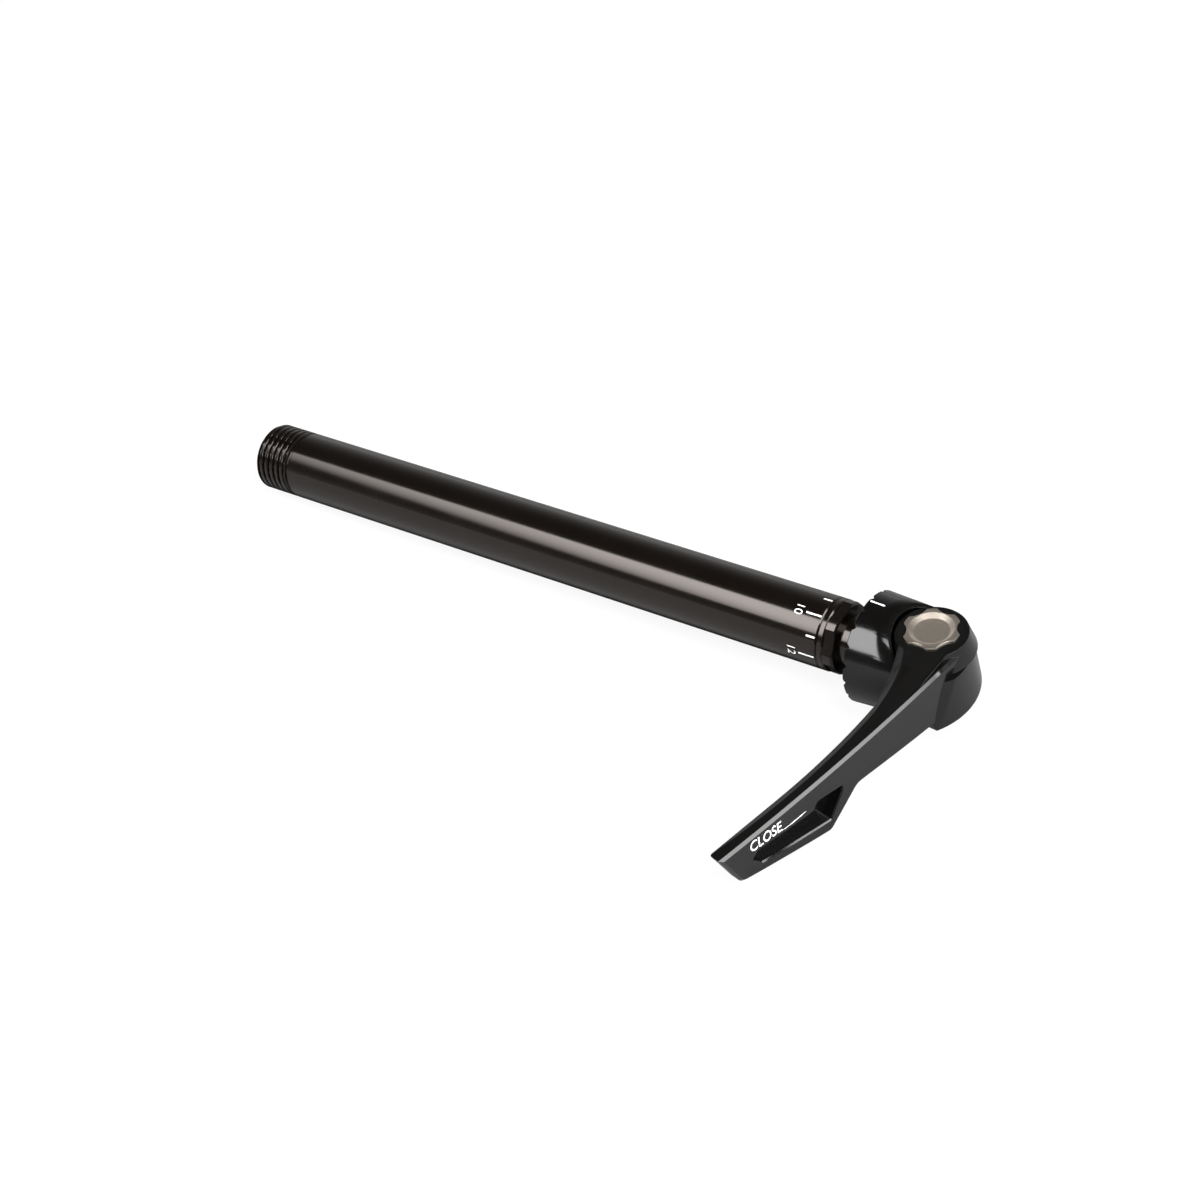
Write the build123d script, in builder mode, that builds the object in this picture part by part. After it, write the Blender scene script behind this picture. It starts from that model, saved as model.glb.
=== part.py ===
"""Bicycle thru axle with a cam lever, for a 15 mm by 110 mm front hub.

The axle lies along X. The origin is the centre of the clamping face, the threaded end points to -X and
the lever end to +X. The lever turns about a pivot parallel to Z, and rests closed, pointing to -Y.
Lengths are in millimetres and angles in degrees.
"""

import os
from math import cos, hypot, radians, sin, sqrt, tan

from build123d import *

os.makedirs("parts", exist_ok=True)

# Axle tube
axle_length = 158.0
axle_radius = 7.5
tube_bore_radius = 5.4
thread_length = 9.0
thread_relief_width = 1.2
thread_relief_depth = 0.45
thread_end_chamfer = 0.7
seam_setback = 8.5
tube_edge_chamfer = 0.25
web_start = 32.0
web_thickness = 6.0

# Index collar between the tube and the flange
collar_rim_length = 1.4
hex_across_flats = 14.0
hex_length = 2.3
hex_corner_chamfer = 0.4
neck_radius = 5.5
neck_reach = 3.6
spigot_length = 12.0
spigot_clearance = 0.03

# Draw rod and its nut
rod_radius = 2.3
rod_clearance = 0.25
rod_tail = 4.0
nut_radius = 5.0
nut_length = 7.0
nut_socket_across_flats = 6.0
nut_socket_depth = 3.2
nut_clearance = 0.04

# Clamping flange
flange_radius = 11.45
flange_back_radius = 10.9
flange_length = 10.4
flange_front_chamfer = 0.2
flange_wall = 4.2
flange_cavity_radius = 8.6
flange_lip_chamfer = 1.0
tooth_count = 18
tooth_depth = 0.9
tooth_length = 2.6
slide_clearance = 0.05

# Lever pivot and cam
pivot_x = 14.2
cam_offset = 0.75
cam_radius = 2.9
upper_journal_radius = 3.9
lower_journal_radius = 2.1
journal_clearance = 0.04
key_across_flats = 6.4
key_clearance = 0.03
eye_clearance = 0.25
eye_width = 10.0
eye_length = 10.8
eye_bottom = -2.4
eye_top = 1.4
eye_gap = 0.3
eye_shank = 0.4

# Cam housing behind the flange
housing_bottom = -5.0
housing_top = 4.7
housing_front_clearance = 0.1
housing_fit = 0.1
housing_left = -11.4
housing_left_end = 6.1
housing_nose = 9.0
housing_nose_lean = 5.0
housing_right = 7.4
housing_right_end = 5.4
housing_root_left = -10.2
housing_corner_round = 2.2
housing_flank_round = 1.0
housing_edge_chamfer = 0.2
housing_cone_top_radius = 9.7
housing_cone_slope = 0.33
boss_radius = 5.2
boss_top = 6.5
rod_hole_end = 7.2

# Shaft clip
clip_thickness = 0.8
clip_radius = 3.4
clip_opening = 3.0
clip_groove_depth = 0.4
clip_clearance = 0.05
shaft_tail = 0.6

# Star head
star_radius = 5.65
star_height = 0.48
star_lobes = 6
star_scallop_radius = 3.6
star_scallop_centre = 8.38
star_phase = -2.7
star_edge_chamfer = 0.12
star_seat_radius = 4.7
star_seat_depth = 0.65
dish_radius = 4.5
dish_depth = 0.75
dish_taper = 52.0

# Lever
lever_clearance = 0.2
ear_top = 9.6
ear_top_radius = 7.0
ear_bottom_radius = 8.45
ear_edge_chamfer = 0.6
saddle_gap_top = 0.6
saddle_gap_bottom = 1.1
root_clearance = 0.35
arm_tilt = 13.5
arm_top_root = 8.5
arm_top_tip = 5.95
arm_top_slope = 9.0
arm_reach = 65.6
arm_outer_root = 7.5
arm_outer_middle = 9.0
arm_outer_tip = 8.35
arm_root_inner = (5.0, -4.0)
arm_shoulder = (18.0, 2.4)
arm_paddle = (48.0, 4.87)
arm_tip_inner = 4.45
neck_low_root = -4.3
neck_low_end = (31.4, -1.5)
paddle_low = (39.3, -7.5)
tip_low = (61.6, -3.0)
side_corner_round = 2.0
ridge_chamfer = 0.55
inner_round = 1.6
ramp_foot = (8.0, 3.0)
ramp_length = 30.0
ramp_width = 7.2
ramp_turn = 13.0
ramp_bury = 0.1
ramp_inset = 0.2
pocket_depth = 2.3
pocket_corner_round = 0.7
pocket_lip_chamfer = 0.25
pocket_upper_edge = [(34.6, 1.2), (41.6, 2.3), (43.0, 0.8), (56.8, 1.8)]
pocket_lower_edge = [(58.4, 0.6), (56.6, -1.5), (39.2, -4.5)]

# Planes and places worked out from the driving dimensions
thread_end = -axle_length
tube_end = -seam_setback
web_back = -web_start
web_front = web_back + web_thickness
hex_end = tube_end + collar_rim_length + hex_length
rod_hole_radius = rod_radius + rod_clearance
ear_bottom = housing_top + lever_clearance
pivot = Plane((pivot_x, 0, 0))
arm = pivot.rotated((0, 0, -90 - arm_tilt))
arm_side = Plane(origin=arm.origin, x_dir=arm.x_dir, z_dir=-arm.y_dir)
ridge_start = arm.from_local_coords(Vector(0, 0, arm_top_root))
ridge_end = arm.from_local_coords(Vector(arm_reach, 0, arm_top_tip))
ridge_section = Plane(origin=ridge_start, x_dir=arm.y_dir, z_dir=ridge_end - ridge_start)
slope_edge = arm_outer_middle + ridge_chamfer
slope_across = arm.y_dir * cos(radians(arm_top_slope)) + arm.z_dir * sin(radians(arm_top_slope))
ridge_run = (ridge_end - ridge_start).normalized()
arm_top = Plane(
    origin=ridge_start + arm.y_dir * slope_edge,
    x_dir=ridge_run,
    z_dir=ridge_run.cross(slope_across),
)
pivot_section = Plane(origin=(pivot_x, 0, 0), x_dir=(1, 0, 0), z_dir=(0, -1, 0))
pivot_axis = Axis((pivot_x, 0, 0), (0, 0, 1))
cut_reach = 40.0
facing_limit = 0.6


def ear_radius(height):
    """Radius of the ear's flared side at a height on the pivot."""
    share = (ear_top - height) / (ear_top - ear_bottom)
    return ear_top_radius + share * (ear_bottom_radius - ear_top_radius)


def saddle_radius(height):
    """Radius, about the pivot, of the hollow that the flange leaves for the ear."""
    share = (ear_top - height) / (ear_top - ear_bottom)
    return ear_radius(height) + saddle_gap_top + share * (saddle_gap_bottom - saddle_gap_top)


def housing_cone_radius(height):
    """Radius, about the pivot, of the housing's flank that the lever's root turns around."""
    return housing_cone_top_radius + housing_cone_slope * (housing_top - height)


def axis_distance(edge):
    """Distance of an edge's middle from the axle's centre line."""
    middle = edge @ 0.5
    return hypot(middle.Y, middle.Z)


def clear_of_ear(shape):
    """Whether a face or edge of the arm lies further along the arm than the ear reaches."""
    return arm.to_local_coords(shape.center()).X > ear_bottom_radius


def arm_edges(piece, side):
    """Edges round the arm's faces that look to one side, clear of the ear."""
    arm_faces = piece.faces().filter_by(clear_of_ear)
    facing = arm_faces.filter_by(lambda face: face.normal_at().dot(side) > facing_limit)
    every_edge = [edge for face in facing for edge in face.edges()]
    around = facing.edges().filter_by(clear_of_ear)
    return around.filter_by(lambda edge: sum(edge.is_same(other) for other in every_edge) == 1)


# Axle tube: a plain tube with a relieved thread end and an inner web that the rod nut pulls on
with BuildPart() as axle_tube:
    with BuildSketch(Plane.XY):
        with BuildLine():
            relief_start = thread_end + thread_length
            relief_end = relief_start + thread_relief_width
            Polyline(
                (thread_end, tube_bore_radius),
                (thread_end, axle_radius - thread_end_chamfer),
                (thread_end + thread_end_chamfer, axle_radius),
                (relief_start, axle_radius),
                (relief_start + thread_relief_depth, axle_radius - thread_relief_depth),
                (relief_end, axle_radius - thread_relief_depth),
                (relief_end + thread_relief_depth, axle_radius),
                (tube_end - tube_edge_chamfer, axle_radius),
                (tube_end, axle_radius - tube_edge_chamfer),
                (tube_end, tube_bore_radius),
                (web_front, tube_bore_radius),
                (web_front, rod_hole_radius),
                (web_back, rod_hole_radius),
                (web_back, tube_bore_radius),
                close=True,
            )
        make_face()
    revolve(axis=Axis.X)

# Index collar: a rim against the tube, a hexagon for a spanner, and the neck that the flange slides on
with BuildPart() as index_collar:
    spigot_radius = tube_bore_radius - spigot_clearance
    with BuildSketch(Plane.YZ.offset(tube_end - spigot_length)):
        Circle(spigot_radius)
    extrude(amount=spigot_length)
    with BuildSketch(Plane.YZ.offset(tube_end)):
        Circle(axle_radius)
    extrude(amount=collar_rim_length)
    chamfer(edges().filter_by(GeomType.CIRCLE).sort_by(SortBy.RADIUS)[-2:], tube_edge_chamfer)
    with BuildSketch(Plane.YZ.offset(hex_end - hex_length)):
        RegularPolygon(hex_across_flats / 2, 6, major_radius=False)
    extrude(amount=hex_length)
    with BuildSketch(Plane.XZ):
        with BuildLine():
            Polyline(
                (tube_end - spigot_length, 0),
                (tube_end - spigot_length, axle_radius),
                (hex_end - hex_corner_chamfer, axle_radius),
                (hex_end, axle_radius - hex_corner_chamfer),
                (hex_end, 0),
                close=True,
            )
        make_face()
    revolve(axis=Axis.X, mode=Mode.INTERSECT)
    with BuildSketch(Plane.YZ.offset(hex_end)):
        Circle(neck_radius)
    extrude(amount=neck_reach - hex_end)
    with BuildSketch(Plane.YZ.offset(tube_end - spigot_length)):
        Circle(rod_hole_radius)
    extrude(amount=spigot_length + neck_reach - tube_end, mode=Mode.SUBTRACT)

# Draw rod: a round rod that ends in a flat eye, slotted so that the cam only pulls along the axle
with BuildPart() as draw_rod:
    rod_end = web_back - nut_length - rod_tail
    cam_x = pivot_x + cam_offset
    with BuildSketch(Plane.YZ.offset(rod_end)):
        Circle(rod_radius)
    rod_tip = cam_x - eye_length / 2 + eye_shank
    extrude(amount=rod_tip - rod_end)
    chamfer(faces().sort_by(Axis.X)[0].edges(), rod_clearance)
    with BuildSketch(Plane((cam_x, 0, eye_bottom))):
        RectangleRounded(eye_length, eye_width, eye_width / 3)
    extrude(amount=eye_top - eye_bottom)
    with BuildSketch(Plane((cam_x, 0, eye_bottom))):
        with Locations((0, cam_offset / 2)):
            SlotCenterToCenter(cam_offset, 2 * (cam_radius + eye_clearance), rotation=90)
    extrude(amount=eye_top - eye_bottom, mode=Mode.SUBTRACT)

# Rod nut: a round nut inside the tube, turned by a hexagon key through the open threaded end
with BuildPart() as rod_nut:
    with BuildSketch(Plane.YZ.offset(web_back - nut_length)):
        Circle(nut_radius)
    extrude(amount=nut_length)
    with BuildSketch(Plane.YZ.offset(web_back - nut_length)):
        Circle(rod_radius + nut_clearance)
    extrude(amount=nut_length, mode=Mode.SUBTRACT)
    with BuildSketch(Plane.YZ.offset(web_back - nut_length)):
        RegularPolygon(nut_socket_across_flats / 2, 6, major_radius=False)
    extrude(amount=nut_socket_depth, mode=Mode.SUBTRACT)

# Clamping flange: a cup with a toothed face, hollowed at the back where the lever's ear turns
with BuildPart() as flange_cup:
    with BuildSketch(Plane.XY):
        with BuildLine():
            Polyline(
                (0, neck_radius + slide_clearance),
                (0, flange_radius - flange_front_chamfer),
                (flange_front_chamfer, flange_radius),
                (flange_length, flange_back_radius),
                (flange_length, flange_cavity_radius),
                (flange_wall, flange_cavity_radius),
                (flange_wall, neck_radius + slide_clearance),
                close=True,
            )
        make_face()
    revolve(axis=Axis.X)
    with BuildSketch(pivot_section):
        saddle_top = flange_radius + flange_lip_chamfer
        with BuildLine():
            Polyline(
                (0, ear_bottom),
                (saddle_radius(ear_bottom), ear_bottom),
                (saddle_radius(saddle_top), saddle_top),
                (0, saddle_top),
                close=True,
            )
        make_face()
    revolve(axis=pivot_axis, mode=Mode.SUBTRACT)
    saddle_edges = edges(Select.LAST).filter_by(GeomType.BSPLINE)
    chamfer(saddle_edges.sort_by(axis_distance)[-1], flange_lip_chamfer)
    tooth_side = tooth_depth * sqrt(2)
    with Locations(Plane.YZ):
        with PolarLocations(flange_radius, tooth_count):
            Box(2 * tooth_length, tooth_side, tooth_side, rotation=(45, 0, 0), mode=Mode.SUBTRACT)

# Cam housing: the block behind the flange that carries the cam shaft
with BuildPart() as cam_housing:
    root_x = flange_length + housing_front_clearance - pivot_x
    with BuildSketch(pivot.offset(housing_bottom)):
        with BuildLine():
            left_corner = (housing_left_end, housing_left)
            right_corner = (housing_right_end, housing_right)
            Polyline(right_corner, (root_x, housing_right), (root_x, housing_root_left), left_corner)
            nose_middle = (housing_nose, (housing_left + housing_right) / 2)
            nose = ThreePointArc(left_corner, nose_middle, right_corner)
        make_face()
        fillet(vertices().group_by(Axis.X)[-2], housing_corner_round)
    extrude(amount=housing_top - housing_bottom)
    with BuildSketch(pivot.offset(housing_bottom)):
        with Locations((nose.arc_center.X, nose.arc_center.Y)):
            Circle(nose.radius)
    extrude(amount=housing_top - housing_bottom, taper=housing_nose_lean, mode=Mode.INTERSECT)
    with BuildSketch(pivot_section):
        with BuildLine():
            Polyline(
                (0, housing_bottom),
                (housing_cone_radius(housing_bottom), housing_bottom),
                (housing_cone_radius(housing_top), housing_top),
                (0, housing_top),
                close=True,
            )
        make_face()
    revolve(axis=pivot_axis, mode=Mode.INTERSECT)
    flank_edge = edges().filter_by(GeomType.BSPLINE).sort_by(Axis.X)[-1]
    fillet(flank_edge, housing_flank_round)
    rim_edges = edges().group_by(Axis.Z)[0]
    chamfer(rim_edges.filter_by(lambda edge: edge.center().X > pivot_x), housing_edge_chamfer)
    with BuildSketch(Plane.YZ.offset(flange_wall)):
        Circle(flange_cavity_radius - housing_fit)
    extrude(amount=flange_length + housing_front_clearance - flange_wall)
    with BuildSketch(pivot_section):
        with BuildLine():
            Polyline(
                (0, housing_top),
                (saddle_radius(ear_bottom), housing_top),
                (saddle_radius(ear_top), ear_top),
                (0, ear_top),
                close=True,
            )
        make_face()
    revolve(axis=pivot_axis, mode=Mode.SUBTRACT)
    with BuildSketch(pivot.offset(housing_top)):
        Circle(boss_radius)
    extrude(amount=boss_top - housing_top)
    with BuildSketch(Plane((cam_x, 0, eye_bottom - eye_gap))):
        pocket_end = eye_length / 2 + eye_gap
        with BuildLine():
            Polyline(
                (rod_hole_end - cam_x, -eye_width / 2 - eye_gap),
                (pocket_end, -eye_width / 2 - eye_gap),
                (pocket_end, eye_width / 2 + eye_gap),
                (rod_hole_end - cam_x, eye_width / 2 + eye_gap),
                close=True,
            )
        make_face()
    extrude(amount=eye_top - eye_bottom + 2 * eye_gap, mode=Mode.SUBTRACT)
    with BuildSketch(Plane.YZ.offset(flange_wall)):
        Circle(rod_hole_radius)
    extrude(amount=rod_tip + eye_gap - flange_wall, mode=Mode.SUBTRACT)
    with BuildSketch(pivot.offset(eye_top)):
        Circle(upper_journal_radius + journal_clearance)
    extrude(amount=boss_top - eye_top, mode=Mode.SUBTRACT)
    with BuildSketch(pivot.offset(housing_bottom)):
        Circle(lower_journal_radius + journal_clearance)
    extrude(amount=eye_top - housing_bottom, mode=Mode.SUBTRACT)

# Cam shaft: star head on a round seat, key, upper journal, offset cam and lower journal with a clip groove
with BuildPart() as cam_shaft:
    shaft_bottom = housing_bottom - clip_clearance - clip_thickness - clip_clearance - shaft_tail
    upper_end = boss_top + lever_clearance / 2
    with BuildSketch(pivot.offset(shaft_bottom)):
        Circle(lower_journal_radius)
    extrude(amount=eye_bottom - eye_gap - shaft_bottom)
    with BuildSketch(pivot.offset(housing_bottom - clip_clearance - clip_thickness)):
        Circle(lower_journal_radius)
        Circle(lower_journal_radius - clip_groove_depth, mode=Mode.SUBTRACT)
    extrude(amount=clip_thickness, mode=Mode.SUBTRACT)
    with BuildSketch(pivot.offset(eye_bottom - eye_gap)):
        with Locations((cam_offset, 0)):
            Circle(cam_radius)
    extrude(amount=eye_top - eye_bottom + 2 * eye_gap)
    with BuildSketch(pivot.offset(eye_top + eye_gap)):
        Circle(upper_journal_radius)
    extrude(amount=upper_end - eye_top - eye_gap)
    with BuildSketch(pivot.offset(upper_end)):
        RegularPolygon(key_across_flats / 2, 6, major_radius=False)
    extrude(amount=ear_top - upper_end)
    with BuildSketch(pivot.offset(ear_top)):
        Circle(star_seat_radius)
    extrude(amount=-star_seat_depth)
    with BuildSketch(pivot.offset(ear_top)):
        Circle(star_radius)
        with PolarLocations(star_scallop_centre, star_lobes, start_angle=star_phase + 180 / star_lobes):
            Circle(star_scallop_radius, mode=Mode.SUBTRACT)
    extrude(amount=star_height)
    chamfer(faces().sort_by(Axis.Z)[-1].edges(), star_edge_chamfer)
    with BuildSketch(pivot.offset(ear_top + star_height)):
        Circle(dish_radius)
    extrude(amount=-dish_depth, taper=dish_taper, mode=Mode.SUBTRACT)

# Shaft clip: an open ring in the groove below the housing
with BuildPart() as shaft_clip:
    clip_bottom = housing_bottom - clip_clearance - clip_thickness
    with BuildSketch(pivot.offset(clip_bottom)):
        Circle(clip_radius)
        Circle(lower_journal_radius - clip_groove_depth + clip_clearance, mode=Mode.SUBTRACT)
        with Locations((0, clip_radius)):
            Rectangle(clip_opening, 2 * clip_radius, mode=Mode.SUBTRACT)
    extrude(amount=clip_thickness)

# Lever: a flared ear over the housing, a tapering arm that leans towards the hub, and a thumb pocket
with BuildPart() as lever:
    with BuildSketch(arm.offset(paddle_low[1])):
        with BuildLine():
            outer_tip = (arm_reach, arm_outer_tip)
            inner_tip = (arm_reach, arm_tip_inner)
            ThreePointArc((0, arm_outer_root), (arm_reach / 2, arm_outer_middle), outer_tip)
            Line(outer_tip, inner_tip)
            blade = Line(inner_tip, arm_paddle)
            shank = TangentArc(arm_paddle, arm_shoulder, tangent=blade % 1)
            TangentArc(arm_shoulder, arm_root_inner, tangent=shank % 1)
            Polyline(arm_root_inner, (0, arm_root_inner[1]), (0, arm_outer_root))
        make_face()
    extrude(amount=arm_top_root - paddle_low[1])
    with BuildSketch(arm_side):
        with BuildLine():
            Polyline(
                (0, neck_low_root),
                neck_low_end,
                paddle_low,
                tip_low,
                (arm_reach, arm_top_tip),
                (0, arm_top_root),
                close=True,
            )
        make_face()
        fillet(vertices().sort_by(Axis.Y)[:4].filter_by(lambda corner: corner.X > 0), side_corner_round)
    extrude(amount=cut_reach, both=True, mode=Mode.INTERSECT)
    with BuildSketch(ridge_section):
        slope_drop = cut_reach * tan(radians(arm_top_slope))
        with BuildLine():
            Polyline(
                (slope_edge, 0),
                (slope_edge, arm_top_root),
                (slope_edge - cut_reach, arm_top_root),
                (slope_edge - cut_reach, -slope_drop),
                close=True,
            )
        make_face()
    extrude(amount=2 * cut_reach, mode=Mode.SUBTRACT)
    chamfer(arm_edges(lever, arm.y_dir), ridge_chamfer)
    fillet(arm_edges(lever, -arm.y_dir), inner_round)
    with BuildSketch(pivot_section):
        ear_shoulder = ear_top - ear_edge_chamfer
        with BuildLine():
            Polyline(
                (0, ear_bottom),
                (ear_bottom_radius, ear_bottom),
                (ear_radius(ear_shoulder), ear_shoulder),
                (ear_top_radius - ear_edge_chamfer, ear_top),
                (0, ear_top),
                close=True,
            )
        make_face()
    revolve(axis=pivot_axis)
    with BuildSketch(arm_top.offset(-ramp_bury)):
        with Locations((ramp_foot[0], ramp_foot[1] - slope_edge)):
            Ellipse(ramp_length / 2, ramp_width / 2, rotation=ramp_turn)
    with BuildSketch(arm.offset(ear_top)):
        Circle(ear_top_radius - ear_edge_chamfer - ramp_inset)
    loft()
    with BuildSketch(pivot_section):
        with BuildLine():
            Polyline(
                (0, paddle_low[1]),
                (housing_cone_radius(paddle_low[1]) + root_clearance, paddle_low[1]),
                (housing_cone_radius(ear_bottom) + root_clearance, ear_bottom),
                (0, ear_bottom),
                close=True,
            )
        make_face()
    revolve(axis=pivot_axis, mode=Mode.SUBTRACT)
    with BuildSketch(pivot.offset(ear_bottom)):
        Circle(boss_radius + lever_clearance)
    extrude(amount=boss_top + lever_clearance / 2 - ear_bottom, mode=Mode.SUBTRACT)
    with BuildSketch(pivot.offset(boss_top)):
        RegularPolygon(key_across_flats / 2 + key_clearance, 6, major_radius=False)
    extrude(amount=ear_top - boss_top, mode=Mode.SUBTRACT)
    with BuildSketch(pivot.offset(ear_top)):
        Circle(star_seat_radius + journal_clearance)
    extrude(amount=-star_seat_depth - journal_clearance, mode=Mode.SUBTRACT)
    with BuildSketch(arm_side.offset(-cut_reach)):
        with BuildLine():
            Polyline(*pocket_upper_edge, *pocket_lower_edge, close=True)
        make_face()
        fillet(vertices(), pocket_corner_round)
    extrude(amount=cut_reach - arm_outer_middle + pocket_depth, mode=Mode.SUBTRACT)
    outside = faces().sort_by(SortBy.AREA)[-1]
    chamfer(outside.inner_wires()[0].edges(), pocket_lip_chamfer)

# Names and files
pieces = {
    "axle_tube": axle_tube,
    "index_collar": index_collar,
    "draw_rod": draw_rod,
    "rod_nut": rod_nut,
    "flange_cup": flange_cup,
    "cam_housing": cam_housing,
    "cam_shaft": cam_shaft,
    "shaft_clip": shaft_clip,
    "lever": lever,
}
for name, piece in pieces.items():
    piece.part.label = name
    export_step(piece.part, f"parts/{name}.step")
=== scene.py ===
"""Looks of a bicycle thru axle with a cam lever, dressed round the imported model."""

import logging
import math
from dataclasses import dataclass
from enum import Enum
from functools import cached_property
from typing import Any, Iterable, Mapping, Optional, Sequence, Union

import bmesh
import bpy
from bpy.types import Material, Mesh, Node, NodeSocket, Object
from mathutils import Matrix, Quaternion, Vector
from mathutils.bvhtree import BVHTree


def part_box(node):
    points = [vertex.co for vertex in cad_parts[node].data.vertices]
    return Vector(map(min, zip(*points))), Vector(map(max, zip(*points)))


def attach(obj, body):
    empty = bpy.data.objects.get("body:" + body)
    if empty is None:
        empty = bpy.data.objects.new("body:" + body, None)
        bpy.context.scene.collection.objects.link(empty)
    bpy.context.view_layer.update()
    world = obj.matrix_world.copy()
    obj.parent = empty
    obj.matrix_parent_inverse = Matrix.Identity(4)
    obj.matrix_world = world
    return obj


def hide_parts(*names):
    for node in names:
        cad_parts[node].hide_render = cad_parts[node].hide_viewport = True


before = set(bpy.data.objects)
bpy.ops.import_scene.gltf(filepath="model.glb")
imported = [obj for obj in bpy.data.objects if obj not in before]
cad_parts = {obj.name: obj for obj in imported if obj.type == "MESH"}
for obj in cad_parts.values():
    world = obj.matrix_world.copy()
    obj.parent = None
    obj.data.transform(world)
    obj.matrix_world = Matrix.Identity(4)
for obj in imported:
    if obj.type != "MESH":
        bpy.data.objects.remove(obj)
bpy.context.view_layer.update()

MM = 0.001
SEED = 15.0
GRAIN_DETAIL = 3.0
SHARP_ANGLE = math.radians(35.0)
MERGE_DISTANCE = 0.0005 * MM

# The lever's pivot and ear, and the flange's hollow for the ear, in millimetres, degrees and slopes
LEVER_PIVOT = 14.2
LEVER_TILT = 13.5
EAR_TOP = 9.6
EAR_RADIUS = 7.0
EAR_FLARE = 0.3085
SADDLE_RADIUS = 7.6
SADDLE_FLARE = 0.4149

Colour = tuple[float, float, float]
Point = tuple[float, float, float]
Span = tuple[float, float]

log = logging.getLogger("thru_axle")


# Node trees


@dataclass(frozen=True)
class Value:
    """A number that runs through a node tree; arithmetic on it adds Math nodes."""

    tree: "Tree"
    socket: NodeSocket

    def math(self, operation: str, *others: "Number") -> "Value":
        """Puts this number first into a Math node of that operation."""
        return self.tree.math(operation, self, *others)

    def __add__(self, other: "Number") -> "Value":
        """This number plus the other."""
        return self.math("ADD", other)

    __radd__ = __add__

    def __sub__(self, other: "Number") -> "Value":
        """This number less the other."""
        return self.math("SUBTRACT", other)

    def __rsub__(self, other: "Number") -> "Value":
        """The other number less this one."""
        return self.tree.math("SUBTRACT", other, self)

    def __mul__(self, other: "Number") -> "Value":
        """This number times the other."""
        return self.math("MULTIPLY", other)

    __rmul__ = __mul__

    def __truediv__(self, other: "Number") -> "Value":
        """This number over the other."""
        return self.math("DIVIDE", other)

    def __pow__(self, other: "Number") -> "Value":
        """This number to the power of the other."""
        return self.math("POWER", other)

    def __mod__(self, other: "Number") -> "Value":
        """What is left of this number after whole steps of the other."""
        return self.math("FLOORED_MODULO", other)

    def clamp(self) -> "Value":
        """This number held between 0 and 1."""
        return self.math("MAXIMUM", 0.0).math("MINIMUM", 1.0)

    def smooth(self, start: "Number", end: "Number") -> "Value":
        """A soft step that is 0 at start and 1 at end."""
        sockets = {"Value": self, "From Min": start, "From Max": end}
        return self.tree.value("ShaderNodeMapRange", sockets, interpolation_type="SMOOTHSTEP")

    def swing(self, spread: float) -> "Value":
        """A number from 0 to 1 as one about 0, this far from end to end."""
        return (self - 0.5) * spread


Number = Union[Value, float]
Feed = Union[Value, NodeSocket, float, Sequence[float], bpy.types.ID]
Sockets = Mapping[Union[str, int], Feed]


@dataclass
class Tree:
    """Adds nodes and links to one shader or geometry tree."""

    tree: bpy.types.NodeTree

    def add(self, kind: str, sockets: Optional[Sockets] = None, **settings: Any) -> Node:
        """Adds a node.

        Args:
            kind: The node's type name.
            sockets: Values or links for its inputs, by name or number.
            settings: Its properties, which are set first.

        Returns:
            The new node.
        """
        node = self.tree.nodes.new(kind)
        for name, setting in settings.items():
            setattr(node, name, setting)
        for key, feed in (sockets or {}).items():
            self.feed(node.inputs[key], feed)
        return node

    def feed(self, socket: NodeSocket, feed: Feed) -> None:
        """Links a value to an input, or sets the input to a constant.

        Args:
            socket: The input.
            feed: A Value or an output socket to link, or a constant.
        """
        if isinstance(feed, Value):
            feed = feed.socket
        if isinstance(feed, NodeSocket):
            self.tree.links.new(feed, socket)
        else:
            socket.default_value = feed

    def out(self, kind: str, sockets: Optional[Sockets] = None, **settings: Any) -> NodeSocket:
        """Adds a node as add() does and gives its first output."""
        return self.add(kind, sockets, **settings).outputs[0]

    def value(self, kind: str, sockets: Optional[Sockets] = None, **settings: Any) -> Value:
        """Adds a node as add() does and gives its first output as a number."""
        return Value(self, self.out(kind, sockets, **settings))

    def math(self, operation: str, *numbers: Number) -> Value:
        """Puts numbers, in order, into a Math node of that operation."""
        return self.value("ShaderNodeMath", dict(enumerate(numbers)), operation=operation)

    def split(self, vector: NodeSocket) -> tuple[Value, Value, Value]:
        """The three numbers of a vector."""
        node = self.add("ShaderNodeSeparateXYZ", {0: vector})
        return tuple(Value(self, output) for output in node.outputs)

    def join(self, x: Number, y: Number, z: Number) -> NodeSocket:
        """A vector of three numbers."""
        return self.out("ShaderNodeCombineXYZ", {0: x, 1: y, 2: z})


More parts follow.
